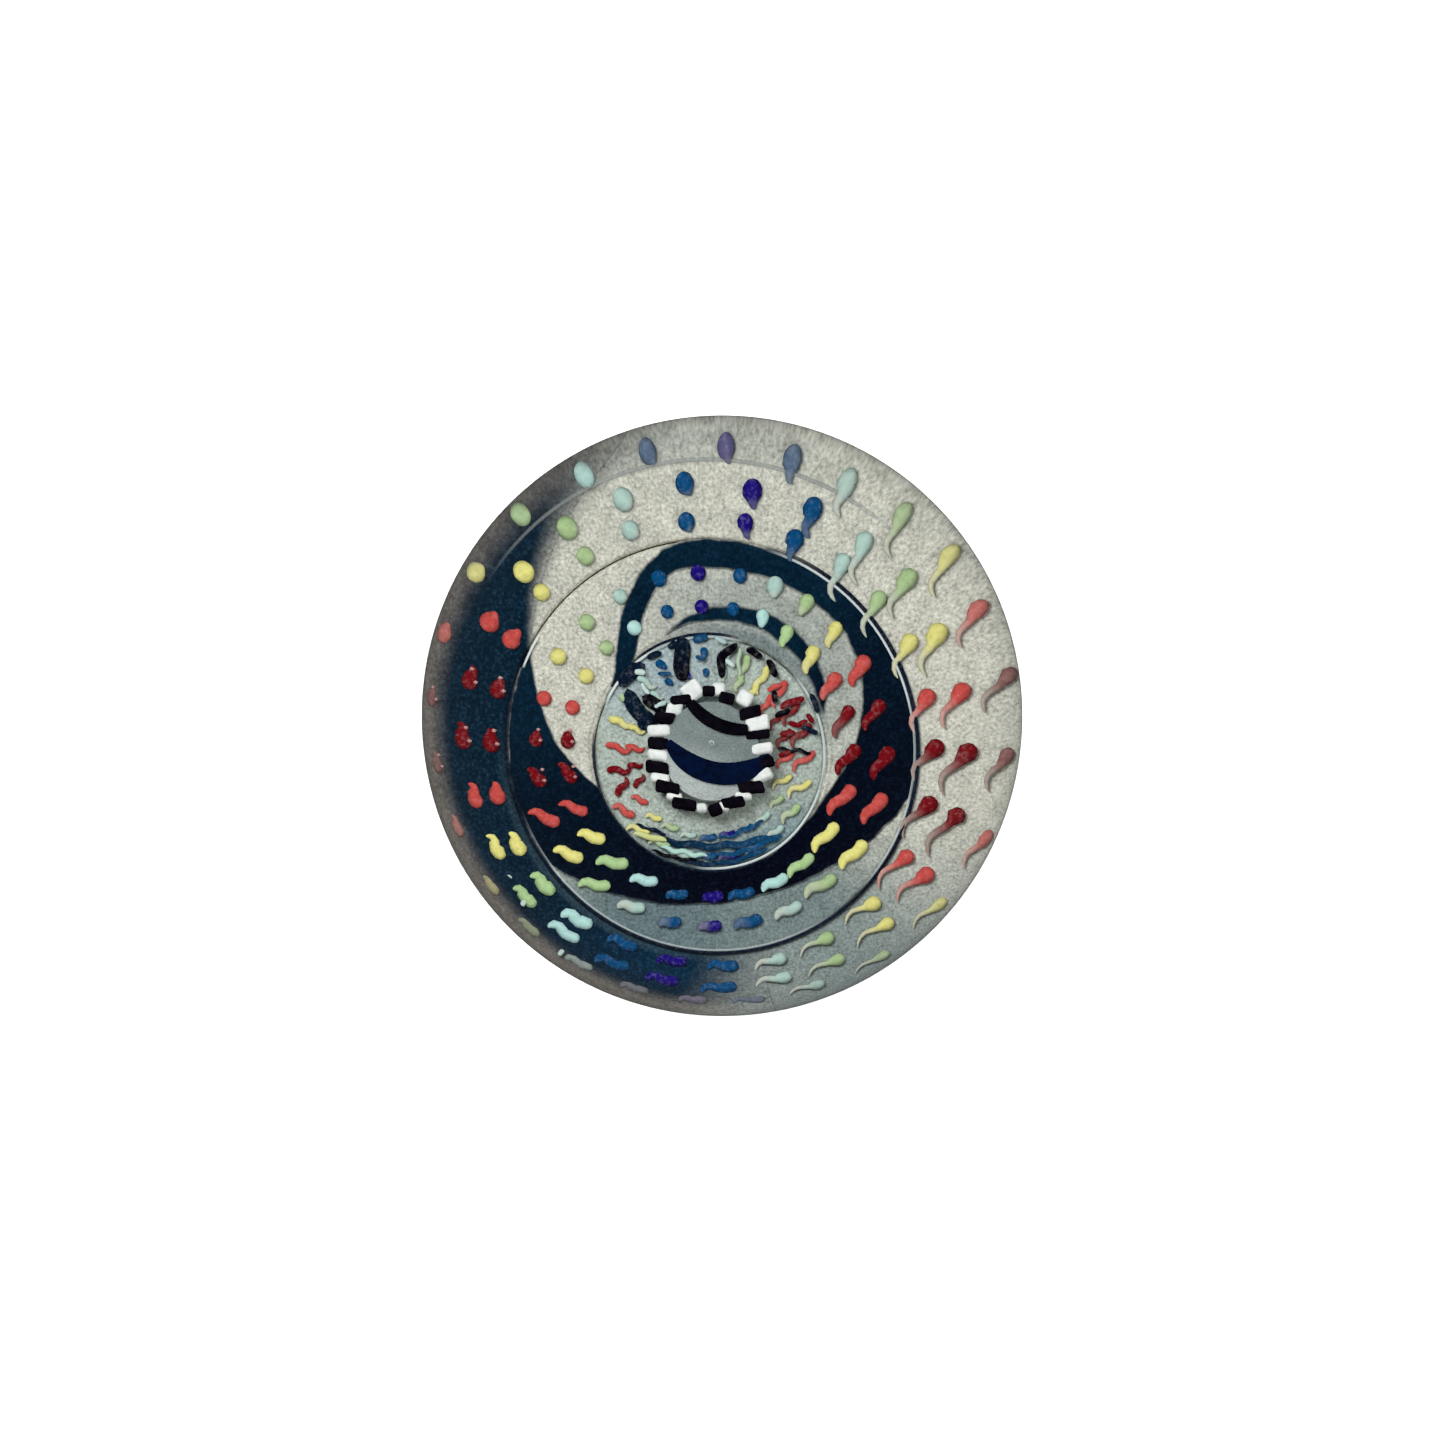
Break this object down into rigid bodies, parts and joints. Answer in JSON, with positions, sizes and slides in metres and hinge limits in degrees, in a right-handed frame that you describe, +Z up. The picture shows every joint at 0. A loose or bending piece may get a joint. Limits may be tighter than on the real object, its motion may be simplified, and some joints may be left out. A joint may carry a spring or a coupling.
{
  "type": "glass ball paperweight",
  "caption": "Clear glass ball paperweight with a flat foot and a cased motif of navy swirls on pale ground, rings of rainbow enamel dots, and an eye in a black and white chequered border.",
  "frame": {"origin": "centre of the flat ground foot that the ball stands on, at the middle of the bottom of its box", "axes": "+Z up along the ball's axis, through the eye; +Y towards the indigo dots at the top of the motif, +X to the right of it"},
  "size_m": [0.076, 0.076, 0.0675],
  "materials": {
    "clear_glass": "polished clear",
    "ground_cushion": "opaque, fused",
    "pale_ground": "opaque, finely speckled",
    "navy_glass": "opaque, soft edges",
    "thread_glass": "polished thread",
    "enamel": "opaque enamel in seven colours",
    "black_glass": "opaque",
    "white_glass": "opaque",
    "eye_glass": "opaque grey",
    "bubble": "air bubble in clear glass"
  },
  "bodies": {
    "root": {"magnifying_dome": "clear_glass", "base_pad": "clear_glass", "ground_cushion": "ground_cushion", "outer_ground": "pale_ground", "middle_ground": "pale_ground", "inner_ground": "pale_ground", "outer_swirl": "navy_glass", "middle_swirl": "navy_glass", "crescent_swirl": "navy_glass", "inner_swirl_left": "navy_glass", "inner_swirl_lower": "navy_glass", "eye_band_lower": "navy_glass", "outer_step_rim": "thread_glass", "middle_rim": "thread_glass", "inner_rim": "thread_glass", "dot_ring_1": "enamel", "dot_ring_2": "enamel", "dot_ring_3": "enamel", "dot_ring_4": "enamel", "dot_ring_5": "enamel", "dot_ring_6": "enamel", "dot_ring_7": "enamel", "check_black_01": "black_glass", "check_black_02": "black_glass", "check_black_03": "black_glass", "check_black_04": "black_glass", "check_black_05": "black_glass", "check_black_06": "black_glass", "check_black_07": "black_glass", "check_black_08": "black_glass", "check_black_09": "black_glass", "check_black_10": "black_glass", "check_black_11": "black_glass", "check_black_12": "black_glass", "check_black_13": "black_glass", "eye_band_upper": "black_glass", "check_white_01": "white_glass", "check_white_02": "white_glass", "check_white_03": "white_glass", "check_white_04": "white_glass", "check_white_05": "white_glass", "check_white_06": "white_glass", "check_white_07": "white_glass", "check_white_08": "white_glass", "check_white_09": "white_glass", "check_white_10": "white_glass", "check_white_11": "white_glass", "check_white_12": "white_glass", "check_white_13": "white_glass", "eye_disc": "eye_glass", "centre_bubble": "bubble", "check_black_14": "black_glass", "check_white_14": "white_glass"}
  },
  "joints": []
}
